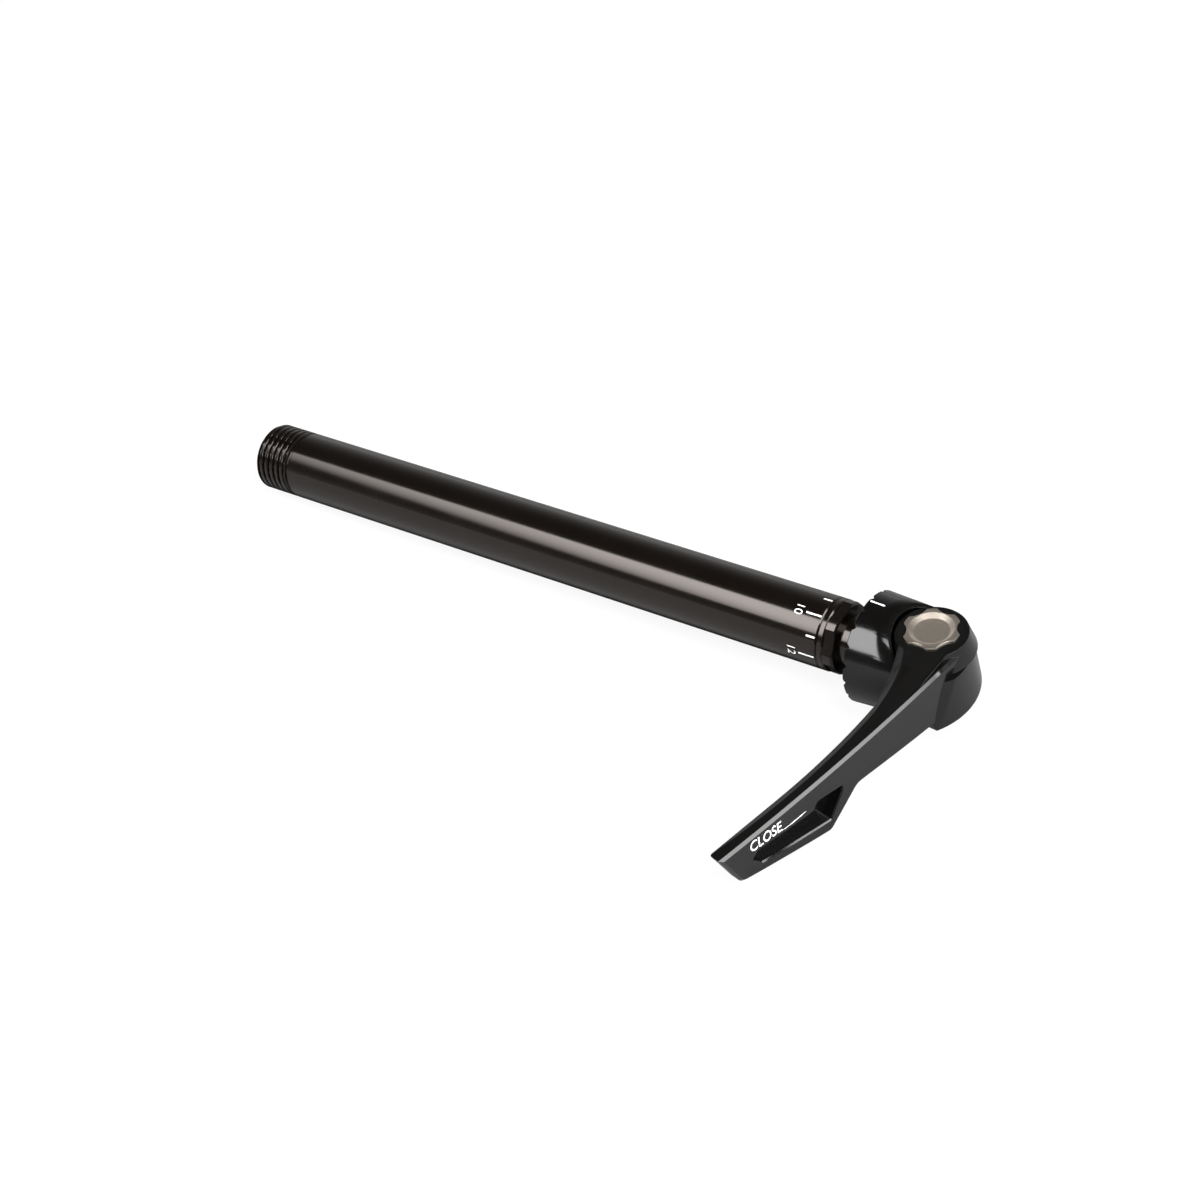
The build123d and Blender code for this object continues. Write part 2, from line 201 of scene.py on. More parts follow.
class Grower(Tree):
    """A geometry tree with named inputs and a material, and the means to run it."""

    def __init__(self, name: str) -> None:
        """Starts an empty geometry tree.

        Args:
            name: The tree's name.
        """
        super().__init__(bpy.data.node_groups.new(name, "GeometryNodeTree"))
        for side in ("INPUT", "OUTPUT"):
            self.tree.interface.new_socket("Geometry", in_out=side, socket_type="NodeSocketGeometry")
        self.entry = self.add("NodeGroupInput")
        self.identifiers: dict[str, str] = {}
        self.material = self.input("Material", "NodeSocketMaterial")

    def input(self, name: str, kind: str = "NodeSocketFloat") -> Value:
        """Adds a named input to the tree.

        Args:
            name: The input's name.
            kind: Its socket type.

        Returns:
            Its value inside the tree.
        """
        item = self.tree.interface.new_socket(name, in_out="INPUT", socket_type=kind)
        self.identifiers[name] = item.identifier
        return Value(self, self.entry.outputs[name])

    def inputs(self, *names: str) -> list[Value]:
        """Adds a number for each name as an input."""
        return [self.input(name) for name in names]

    def close(self, geometry: NodeSocket) -> None:
        """Ends the tree, with instances made real and the material set.

        Args:
            geometry: What the tree has made.
        """
        real = self.out("GeometryNodeRealizeInstances", {0: geometry})
        dressed = self.out("GeometryNodeSetMaterial", {"Geometry": real, "Material": self.material})
        self.add("NodeGroupOutput", {0: dressed})

    def run(self, name: str, inputs: Mapping[str, Any], start: Optional[Mesh] = None) -> Mesh:
        """Runs the tree once.

        Args:
            name: A name for the mesh.
            inputs: The inputs' values by name.
            start: The mesh it starts from, or none.

        Returns:
            The result as a plain mesh.
        """
        obj = placed(name, start or bpy.data.meshes.new(name))
        modifier = obj.modifiers.new(self.tree.name, "NODES")
        modifier.node_group = self.tree
        for label, setting in inputs.items():
            modifier[self.identifiers[label]] = setting
        mesh = plain_mesh(obj)
        bpy.data.objects.remove(obj)
        mesh.name = name
        return mesh


def blank_nodes(holder: Union[Material, bpy.types.World]) -> bpy.types.NodeTree:
    """Clears the nodes of a material or a world.

    Args:
        holder: The material or world.

    Returns:
        Its empty node tree.
    """
    holder.use_nodes = True
    holder.node_tree.nodes.clear()
    return holder.node_tree


# Objects and meshes


def placed(name: str, data: bpy.types.ID) -> Object:
    """Puts a new object into the scene.

    Args:
        name: The object's name.
        data: Its mesh, curve or camera.

    Returns:
        The object, at the origin.
    """
    obj = bpy.data.objects.new(name, data)
    bpy.context.scene.collection.objects.link(obj)
    return obj


def plain_mesh(obj: Object) -> Mesh:
    """Makes a plain mesh of what an object shows.

    Args:
        obj: The object, with its modifiers.

    Returns:
        The new mesh.
    """
    bpy.context.view_layer.update()
    depsgraph = bpy.context.evaluated_depsgraph_get()
    return bpy.data.meshes.new_from_object(obj.evaluated_get(depsgraph), depsgraph=depsgraph)


def on_shaft(along: float, radius: float, turn: float) -> Vector:
    """A point round the axle, turned from +Z towards -Y, in radians."""
    return Vector((along, -radius * math.sin(turn), radius * math.cos(turn)))


def lathe(profile: Sequence[Span], steps: int) -> Mesh:
    """Turns a profile about the axle.

    Args:
        profile: Places along the axle with their radii.
        steps: The number of steps round.

    Returns:
        An open skin with one ring of points for each place.
    """
    shape = bmesh.new()
    rings = []
    for along, radius in profile:
        turns = (math.tau * step / steps for step in range(steps))
        rings.append([shape.verts.new(on_shaft(along, radius, turn)) for turn in turns])
    for one, two in zip(rings, rings[1:]):
        for step in range(steps):
            after = (step + 1) % steps
            shape.faces.new((one[step], two[step], two[after], one[after]))
    mesh = bpy.data.meshes.new("lathe")
    shape.to_mesh(mesh)
    shape.free()
    return mesh


def joined(name: str, meshes: Iterable[Mesh]) -> Mesh:
    """Joins meshes into one, with shared points merged and steep edges kept sharp.

    Args:
        name: A name for the mesh.
        meshes: The meshes to join, which are removed.

    Returns:
        The joined mesh.
    """
    shape = bmesh.new()
    for mesh in meshes:
        shape.from_mesh(mesh)
        bpy.data.meshes.remove(mesh)
    bmesh.ops.remove_doubles(shape, verts=shape.verts, dist=MERGE_DISTANCE)
    bmesh.ops.recalc_face_normals(shape, faces=shape.faces)
    for face in shape.faces:
        face.smooth = True
    for edge in shape.edges:
        edge.smooth = edge.is_manifold and edge.calc_face_angle() < SHARP_ANGLE
    mesh = bpy.data.meshes.new(name)
    shape.to_mesh(mesh)
    shape.free()
    return mesh


def text_mesh(words: str, height: float, weight: float, width: Optional[float] = None) -> Mesh:
    """Flat lettering about the origin.

    Args:
        words: What it says.
        height: The height of its capitals.
        weight: How much the strokes are thickened, as a share of the type size.
        width: The length of the line, if it isn't the type's own.

    Returns:
        A mesh in the XY plane.
    """
    curve = bpy.data.curves.new(words, "FONT")
    curve.body = words
    curve.offset = weight
    obj = placed(words, curve)
    mesh = plain_mesh(obj)
    bpy.data.objects.remove(obj)
    bpy.data.curves.remove(curve)
    corners = [vertex.co for vertex in mesh.vertices]
    low = Vector(map(min, *corners))
    high = Vector(map(max, *corners))
    tall = height / (high.y - low.y)
    wide = tall if width is None else width / (high.x - low.x)
    mesh.transform(Matrix.Diagonal((wide, tall, 1.0, 1.0)) @ Matrix.Translation(-(low + high) / 2.0))
    return mesh


def ribbon_mesh(path: Sequence[Point]) -> Mesh:
    """A flat stroke.

    Args:
        path: Points with the stroke's width at each, as (x, y, width).

    Returns:
        A mesh in the XY plane.
    """
    shape = bmesh.new()
    pairs = []
    for place, (x, y, width) in enumerate(path):
        before = path[max(place - 1, 0)]
        after = path[min(place + 1, len(path) - 1)]
        way = Vector((after[0] - before[0], after[1] - before[1], 0.0)).normalized()
        side = Vector((-way.y, way.x, 0.0)) * width / 2.0
        centre = Vector((x, y, 0.0))
        pairs.append((shape.verts.new(centre + side), shape.verts.new(centre - side)))
    for one, two in zip(pairs, pairs[1:]):
        shape.faces.new((one[0], one[1], two[1], two[0]))
    mesh = bpy.data.meshes.new("ribbon")
    shape.to_mesh(mesh)
    shape.free()
    return mesh


def drop_onto(mesh: Mesh, node: str, heading: Vector, lift: float) -> None:
    """Moves each point of a mesh along a heading until it lies on a CAD node.

    Args:
        mesh: The mesh, which starts off the node's surface.
        node: The CAD node's name.
        heading: The way the points travel.
        lift: How far off the surface they stop.
    """
    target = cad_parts[node].data
    points = [vertex.co for vertex in target.vertices]
    tree = BVHTree.FromPolygons(points, [tuple(face.vertices) for face in target.polygons])
    for vertex in mesh.vertices:
        hit, _, _, _ = tree.ray_cast(vertex.co, heading)
        if hit is None:
            raise ValueError(f"a point of {mesh.name} misses {node}")
        vertex.co = hit - heading * lift


def add_piece(
    name: str, mesh: Mesh, material: Material, body: str
) -> Object:
    """Adds a finished piece to the object.

    Args:
        name: The piece's name.
        mesh: Its mesh, in place.
        material: Its material.
        body: The CAD body it rides on.

    Returns:
        The new object.
    """
    mesh.materials.clear()
    mesh.materials.append(material)
    obj = placed(name, mesh)
    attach(obj, body)
    log.info("%s rides on %s with %d faces", name, body, len(mesh.polygons))
    return obj


# Finishes


class Coat(Tree):
    """The tree of a finish's material, with its Principled shader and the point that it shades."""

    def __init__(self, material: Material, constants: Mapping[str, Feed]) -> None:
        """Starts the material with its shader.

        Args:
            material: The material.
            constants: The shader's inputs by name.
        """
        super().__init__(blank_nodes(material))
        self.shader = self.add("ShaderNodeBsdfPrincipled", constants)
        self.add("ShaderNodeOutputMaterial", {"Surface": self.shader.outputs[0]})
        self.place = self.add("ShaderNodeTexCoord").outputs["Object"]

    def set(self, name: str, feed: Feed) -> None:
        """Feeds an input of the shader."""
        self.feed(self.shader.inputs[name], feed)

    def noise(self, size: float, detail: float = 2.0, place: Optional[NodeSocket] = None) -> Value:
        """Noise from 0 to 1 with marks of a size in metres, at the shaded point or another place."""
        sockets = {"Vector": place or self.place, "W": SEED, "Scale": 1.0 / size, "Detail": detail}
        return self.value("ShaderNodeTexNoise", sockets, noise_dimensions="4D")

    def tint(self, amount: Value, *colours: Colour) -> None:
        """Mixes two colours into the base colour.

        Args:
            amount: The share of the second colour.
            colours: The two colours.
        """
        ramp = self.add("ShaderNodeValToRGB", {"Fac": amount})
        for element, colour in zip(ramp.color_ramp.elements, colours):
            element.color = (*colour, 1.0)
        self.set("Base Color", ramp.outputs["Color"])

    def bump(
        self, height: Value, unit: float, share: Number = 1.0, under: Optional[NodeSocket] = None
    ) -> NodeSocket:
        """Turns a normal to where a height falls away.

        Args:
            height: The height.
            unit: What a height of 1 stands for, in metres.
            share: How far the normal turns there, from 0 to 1.
            under: The normal to start from, if it isn't the solid's own.

        Returns:
            The turned normal.
        """
        sockets: dict[str, Feed] = {"Height": height, "Distance": unit, "Strength": share}
        if under is not None:
            sockets["Normal"] = under
        return self.out("ShaderNodeBump", sockets)


@dataclass(frozen=True)
class PivotPlace:
    """A point's place about the lever's pivot; lengths in millimetres."""

    along: Value
    out: Value
    up: Value
    reach: Value
    radius: Value

    @classmethod
    def read(cls, coat: Coat) -> "PivotPlace":
        """Works the place out for the point that is shaded.

        Args:
            coat: The material's tree.

        Returns:
            How far it is along the arm, out of it and up, and from the pivot and the axle.
        """
        x, y, z = (part / MM for part in coat.split(coat.place))
        aside = x - LEVER_PIVOT
        turn = math.radians(-90.0 - LEVER_TILT)
        along = aside * math.cos(turn) + y * math.sin(turn)
        out = y * math.cos(turn) - aside * math.sin(turn)
        reach = (aside * aside + y * y) ** 0.5
        return cls(along, out, z, reach, (y * y + z * z) ** 0.5)

    def past_ear(self) -> Value:
        """How far the point is outside the ear's cone."""
        return self.reach - (EAR_TOP - self.up) * EAR_FLARE - EAR_RADIUS

    def past_saddle(self) -> Value:
        """How far the point is outside the flange's hollow for the ear."""
        return self.reach - (EAR_TOP - self.up) * SADDLE_FLARE - SADDLE_RADIUS


@dataclass(frozen=True)
class Finish:
    """A surface finish; each kind paints its own detail on a Principled shader; lengths in metres."""

    name: str
    colour: Colour
    roughness: float
    metallic: float = 0.0
    ior: float = 1.47
    mirror_tint: Colour = (1.0, 1.0, 1.0)

    def build(self) -> Material:
        """Makes the material.

        Returns:
            The material, painted.
        """
        material = bpy.data.materials.new(self.name)
        constants = {
            "Base Color": (*self.colour, 1.0),
            "Roughness": self.roughness,
            "Metallic": self.metallic,
            "IOR": self.ior,
            "Specular Tint": (*self.mirror_tint, 1.0),
        }
        self.paint(Coat(material, constants))
        return material

    def paint(self, coat: Coat) -> None:
        """Adds the finish's detail; a plain finish has none."""

    def form(self, coat: Coat) -> Optional[NodeSocket]:
        """The normal of a form softer than the solid's; a plain finish keeps the solid's own."""
        return None


@dataclass(frozen=True)
class TurnedBlack(Finish):
    """Black anodising over turned aluminium: fine rings round the axle, faint handling marks."""

    ring_pitch: float = 0.00016
    ring_depth: float = 0.0000012
    ring_blur: float = 0.02
    drift_size: float = 0.009
    smudge: float = 0.06
    speck_size: float = 0.0006
    speck_span: Span = (0.66, 0.8)
    speck_blur: float = 0.04
    worn: Colour = (0.01, 0.0085, 0.0078)
    worn_specks: float = 0.35
    worn_drift: float = 0.2

    def paint(self, coat: Coat) -> None:
        """Adds the rings, and roughness that drifts over the surface.

        Args:
            coat: The material's tree.
        """
        along, _, _ = coat.split(coat.place)
        rings = coat.noise(self.ring_pitch, place=coat.join(along, 0.0, 0.0))
        drift = coat.noise(self.drift_size)
        specks = coat.noise(self.speck_size).smooth(*self.speck_span)
        blur = drift.swing(self.smudge) + rings * self.ring_blur + specks * self.speck_blur
        coat.set("Roughness", self.roughness + blur)
        coat.tint(specks * self.worn_specks + drift * self.worn_drift, self.colour, self.worn)
        coat.set("Normal", coat.bump(rings, self.ring_depth, under=self.form(coat)))


@dataclass(frozen=True)
class BlastedBlack(Finish):
    """Black anodising over a blasted forging: an even fine grain."""

    grain_size: float = 0.00012
    grain_depth: float = 0.000004
    grain_blur: float = 0.1
    drift_size: float = 0.006
    drift_blur: float = 0.08
    worn: Colour = (0.009, 0.0086, 0.0082)
    worn_span: Span = (0.45, 0.8)
    worn_grain: float = 0.5
    worn_drift: float = 0.2

    def paint(self, coat: Coat) -> None:
        """Adds the grain and a soft drift of tone.

        Args:
            coat: The material's tree.
        """
        grain = coat.noise(self.grain_size, GRAIN_DETAIL)
        drift = coat.noise(self.drift_size)
        blur = drift.swing(self.drift_blur) + grain.swing(self.grain_blur)
        coat.set("Roughness", self.roughness + blur)
        worn = grain.smooth(*self.worn_span) * self.worn_grain + drift * self.worn_drift
        coat.tint(worn, self.colour, self.worn)
        coat.set("Normal", coat.bump(grain, self.grain_depth, under=self.form(coat)))


@dataclass(frozen=True)
class TurnedMetal(Finish):
    """Bare or plated metal with fine turning rings about an upright axis or the axle."""

    centre: Optional[Span] = None
    ring_pitch: float = 0.0003
    ring_rise: float = 0.2
    ring_depth: float = 0.000002
    ring_share: float = 0.6
    ring_blur: float = 0.16
    grain_size: float = 0.00015
    grain_blur: float = 0.12
    drift_size: float = 0.002
    drift_blur: float = 0.1
    shade: Colour = (0.3, 0.29, 0.27)
    shade_span: Span = (0.45, 0.75)
    shade_drift: float = 0.35
    shade_grain: float = 0.15

    def paint(self, coat: Coat) -> None:
        """Adds the rings, fine grain and a slight tarnish.

        Args:
            coat: The material's tree.
        """
        along, across, up = coat.split(coat.place)
        if self.centre is None:
            sweep = along
        else:
            aside, behind = along - self.centre[0], across - self.centre[1]
            sweep = (aside * aside + behind * behind) ** 0.5
        rings = coat.noise(self.ring_pitch, place=coat.join(sweep, up * self.ring_rise, 0.0))
        grain = coat.noise(self.grain_size, GRAIN_DETAIL)
        drift = coat.noise(self.drift_size)
        blur = rings.swing(self.ring_blur) + grain.swing(self.grain_blur) + drift.swing(self.drift_blur)
        coat.set("Roughness", self.roughness + blur)
        tarnish = drift.smooth(*self.shade_span) * self.shade_drift + grain * self.shade_grain
        coat.tint(tarnish, self.colour, self.shade)
        height = rings * self.ring_share + grain * (1.0 - self.ring_share)
        coat.set("Normal", coat.bump(height, self.ring_depth, under=self.form(coat)))


@dataclass(frozen=True)
class DishedStar(TurnedMetal):
    """The turned finish on the star head, with a soft dish and a crisp rim; its sizes in millimetres."""

    dish_span: Span = (4.45, 4.55)
    dish_level: float = 0.4
    rim_span: Span = (EAR_TOP + 0.3, EAR_TOP + 0.34)
    rise: float = 1.3

    def form(self, coat: Coat) -> Optional[NodeSocket]:
        """Leans the dish's wall towards the top, and levels the rim.

        Args:
            coat: The material's tree.

        Returns:
            The turned normal.
        """
        place = PivotPlace.read(coat)
        outside = place.reach.smooth(*self.dish_span)
        share = (1.0 - outside) * self.dish_level + outside * place.up.smooth(*self.rim_span)
        return coat.bump(place.up * -self.rise, MM, share)


@dataclass(frozen=True)
class Print(Finish):
    """White printing, a little thin in places."""

    grain_size: float = 0.00018
    grain_depth: float = 0.000004
    grain_blur: float = 0.2
    thin: Colour = (0.5, 0.49, 0.48)
    thin_span: Span = (0.5, 0.8)
    thin_share: float = 0.5

    def paint(self, coat: Coat) -> None:
        """Adds thin spots and a dry texture.

        Args:
            coat: The material's tree.
        """
        grain = coat.noise(self.grain_size, GRAIN_DETAIL)
        coat.tint(grain.smooth(*self.thin_span) * self.thin_share, self.colour, self.thin)
        coat.set("Roughness", self.roughness + grain.swing(self.grain_blur))
        coat.set("Normal", coat.bump(grain, self.grain_depth, under=self.form(coat)))


@dataclass(frozen=True)
class CrownedFlange(TurnedBlack):
    """The turned finish on a flange that rolls into the ear's hollow; its sizes in millimetres."""

    roll: float = 3.8
    roll_slope: float = 0.6
    roll_fade: float = 1.0
    lip_span: Span = (0.05, 0.15)
    top_span: Span = (4.5, 6.5)
    rise: float = 0.9

    def form(self, coat: Coat) -> Optional[NodeSocket]:
        """Leans the normal towards the ear, most at the hollow's lip.

        Args:
            coat: The material's tree.

        Returns:
            The turned normal.
        """
        place = PivotPlace.read(coat)
        gap = place.past_saddle()
        run = gap.math("MINIMUM", self.roll)
        depth = (run - run * run / (2.0 * self.roll)) * self.roll_slope - place.radius * self.rise
        share = gap.smooth(*self.lip_span) * (1.0 - gap.smooth(self.roll - self.roll_fade, self.roll))
        return coat.bump(depth, MM, share * place.up.smooth(*self.top_span))


@dataclass(frozen=True)
class SweptLever(BlastedBlack):
    """The blasted finish on a lever whose ear sweeps down into the arm; its sizes in millimetres.

    The arm's top falls along the arm and leans across it, between two curved edges.
    """

    top_height: float = 8.5
    top_fall: float = 0.0389
    top_outer: float = 9.55
    top_lean: float = 0.1584
    inner_middle: float = 18.0
    inner_curve: tuple[float, ...] = (2.4, 0.188, 0.0035, 0.0199)
    outer_curve: tuple[float, ...] = (7.5, 0.0785, 0.001)
    ear_span: Span = (0.015, 0.04)
    rim_span: Span = (8.95, 9.02)
    sweep_spans: tuple[Span, ...] = ((2.5, 4.5), (0.6, 0.7), (-0.25, -0.1))
    edge_spans: tuple[Span, ...] = ((1.6, 1.85), (-0.95, -0.55), (3.0, 7.0))
    end_spans: tuple[Span, ...] = ((3.5, 8.0), (0.5, 0.62), (-1.0, -0.7))
    sweep_rise: float = 1.15
    edge_rise: float = 0.957
    edge_lean: float = 0.37
    end_lean: float = 1.3

    def above_top(self, place: PivotPlace) -> Value:
        """How far a point is above the arm's top."""
        across = (self.top_outer - place.out) * self.top_lean
        return place.up - (self.top_height - place.along * self.top_fall - across)

    def past_inner_edge(self, place: PivotPlace) -> Value:
        """Works out how far a point is from the arm's inner edge, towards the outer one.

        Args:
            place: The point.

        Returns:
            The distance.
        """
        start, slope, bend, root_bend = self.inner_curve
        step = place.along - self.inner_middle
        back = step.math("MINIMUM", 0.0)
        return place.out - (start + step * slope - step * step * bend - back * back * root_bend)

    def short_of_outer_edge(self, place: PivotPlace) -> Value:
        """How far a point is from the arm's outer edge, towards the inner one."""
        start, slope, bend = self.outer_curve
        return start + place.along * slope - place.along * place.along * bend - place.out

    def form(self, coat: Coat) -> Optional[NodeSocket]:
        """Levels the sweep and the ear's rim, bevels the inner edge and fades out the ridge.

        Args:
            coat: The material's tree.

        Returns:
            The turned normal.
        """
        place = PivotPlace.read(coat)
        above = self.above_top(place)
        inside = self.past_inner_edge(place)
        outside = self.short_of_outer_edge(place)
        off_ear = place.past_ear().smooth(*self.ear_span)
        by_out, by_outside, by_above = self.sweep_spans
        sweep = off_ear * place.out.smooth(*by_out) * outside.smooth(*by_outside)
        sweep = sweep * above.smooth(*by_above)
        by_inside, by_above, by_along = self.edge_spans
        edge = off_ear * (1.0 - inside.smooth(*by_inside))
        edge = edge * above.smooth(*by_above) * place.along.smooth(*by_along)
        flat = (sweep * (1.0 - edge)).math("MAXIMUM", place.up.smooth(*self.rim_span))
        level = coat.bump(place.up * -self.sweep_rise, MM, flat)
        bevel = coat.bump(inside * self.edge_lean - place.up * self.edge_rise, MM, edge, level)
        by_along, by_outside, by_above = self.end_spans
        end = (1.0 - place.along.smooth(*by_along)) * (1.0 - outside.smooth(*by_outside))
        end = end * above.smooth(*by_above) * off_ear
        return coat.bump(place.out * -self.end_lean, MM, end, bevel)


class Finishes(Enum):
    """The finishes of the object, each of which makes its material once."""

    TUBE = TurnedBlack(
        "black_anodised", (0.0036, 0.0026, 0.002), 0.13, ior=1.5, mirror_tint=(1.0, 0.91, 0.86)
    )
    FLANGE = CrownedFlange("gloss_black", (0.0025, 0.0024, 0.0023), 0.13, smudge=0.03)
    FORGED = BlastedBlack("satin_black", (0.003, 0.0028, 0.0027), 0.15)
    LEVER = SweptLever("lever_black", (0.003, 0.0028, 0.0027), 0.15)
    STAR = DishedStar(
        "silver_star",
        (0.84, 0.75, 0.64),
        0.38,
        metallic=1.0,
        ior=1.5,
        centre=(LEVER_PIVOT * MM, 0.0),
        shade=(0.5, 0.44, 0.37),
    )
    STEEL = TurnedMetal("bare_steel", (0.5, 0.49, 0.47), 0.34, metallic=1.0, ior=1.5)
    PRINT = Print("white_print", (0.86, 0.86, 0.85), 0.5, ior=1.45)

    @cached_property
    def material(self) -> Material:
        """The finish's material, made on first use."""
        return self.value.build()


# The object


def dress(node: str, finish: Finishes) -> None:
    """Gives a CAD node its finish.

    Args:
        node: The CAD node's name.
        finish: The finish.
    """
    obj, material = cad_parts[node], finish.material
    if not obj.material_slots:
        obj.active_material = material
    for holder in obj.material_slots:
        holder.link = "OBJECT"
        holder.material = material
    log.info("%s is dressed in %s", node, material.name)


@dataclass
class ThreadedTube:
    """The hollow tube, with its thread cut, in the CAD tube's place; sizes in millimetres."""

    radius: float = 7.5
    bore: float = 5.4
    thread_length: float = 9.0
    pitch: float = 1.5
    depth: float = 0.66
    lead_in: float = 0.7
    run_out: float = 0.8
    crest_half: float = 0.62
    root_half: float = 0.2
    relief_width: float = 1.2
    relief_depth: float = 0.45
    relief_slope: float = 0.5
    edge_chamfer: float = 0.3
    mouth_chamfer: float = 0.5
    web_margin: float = 0.1
    steps_round: int = 144
    steps_along: int = 120

    def thread_tree(self) -> Grower:
        """Builds the tree that rolls a grid into a threaded skin.

        Returns:
            The tree.
        """
        tree = Grower("thread_skin")
        start, length, radius, pitch, depth = tree.inputs("Start", "Length", "Radius", "Pitch", "Depth")
        lead_in, run_out, root, crest = tree.inputs("Lead In", "Run Out", "Root Half", "Crest Half")
        steps_along = tree.input("Steps Along", "NodeSocketInt")
        steps_round = tree.input("Steps Round", "NodeSocketInt")
        points_along, points_round = steps_along + 1.0, steps_round + 1.0
        grid = tree.out("GeometryNodeMeshGrid", {0: 1.0, 1: 1.0, 2: points_along, 3: points_round})
        across, aside, _ = tree.split(tree.out("GeometryNodeInputPosition"))
        along = (across + 0.5) * length
        turn = aside + 0.5
        phase = (along / pitch - turn) % 1.0
        groove = 1.0 - (phase - 0.5).math("ABSOLUTE").math("MULTIPLY", 2.0).smooth(root, crest)
        cut = radius - depth * groove * ((length - along) / run_out).clamp()
        edge = cut.math("MINIMUM", radius - lead_in + along)
        angle = turn * math.tau
        place = tree.join(start + along, -1.0 * edge * angle.math("SINE"), edge * angle.math("COSINE"))
        tree.close(tree.out("GeometryNodeSetPosition", {"Geometry": grid, "Position": place}))
        return tree

    def profile(self, start: float, end: float) -> list[Span]:
        """The tube's section from the thread's inner end round to its outer end.

        Args:
            start: The threaded end, along the axle.
            end: The other end.

        Returns:
            Places and radii in metres.
        """
        cad = [(v.co.x, math.hypot(v.co.y, v.co.z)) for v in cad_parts["axle_tube"].data.vertices]
        web_radius = (self.bore - self.web_margin) * MM
        web = sorted({round(along, 6) for along, radius in cad if radius < web_radius})
        hole = min(radius for _, radius in cad)
        radius, bore = self.radius * MM, self.bore * MM
        edge, mouth = self.edge_chamfer * MM, self.mouth_chamfer * MM
        thread_end = start + self.thread_length * MM
        relief = radius - self.relief_depth * MM
        relief_end = thread_end + self.relief_width * MM
        slope = self.relief_depth * MM
        return [
            (thread_end, radius),
            (thread_end + slope * self.relief_slope, relief),
            (relief_end - slope, relief),
            (relief_end, radius),
            (end - edge, radius),
            (end, radius - edge),
            (end, bore),
            (web[-1], bore),
            (web[-1], hole),
            (web[0], hole),
            (web[0], bore),
            (start + mouth, bore),
            (start, bore + mouth),
            (start, radius - self.lead_in * MM),
        ]

    def build(self) -> None:
        """Makes the tube in place of the CAD node."""
        low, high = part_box("axle_tube")
        material = Finishes.TUBE.material
        inputs = {
            "Start": low.x,
            "Length": self.thread_length * MM,
            "Radius": self.radius * MM,
            "Pitch": self.pitch * MM,
            "Depth": self.depth * MM,
            "Lead In": self.lead_in * MM,
            "Run Out": self.run_out * MM,
            "Root Half": self.root_half,
            "Crest Half": self.crest_half,
            "Steps Along": self.steps_along,
            "Steps Round": self.steps_round,
            "Material": material,
        }
        thread = self.thread_tree().run("thread", inputs)
        body = lathe(self.profile(low.x, high.x), self.steps_round)
        mesh = joined("threaded_tube", (thread, body))
        tube = add_piece("threaded_tube", mesh, material, "axle")
        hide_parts("axle_tube")


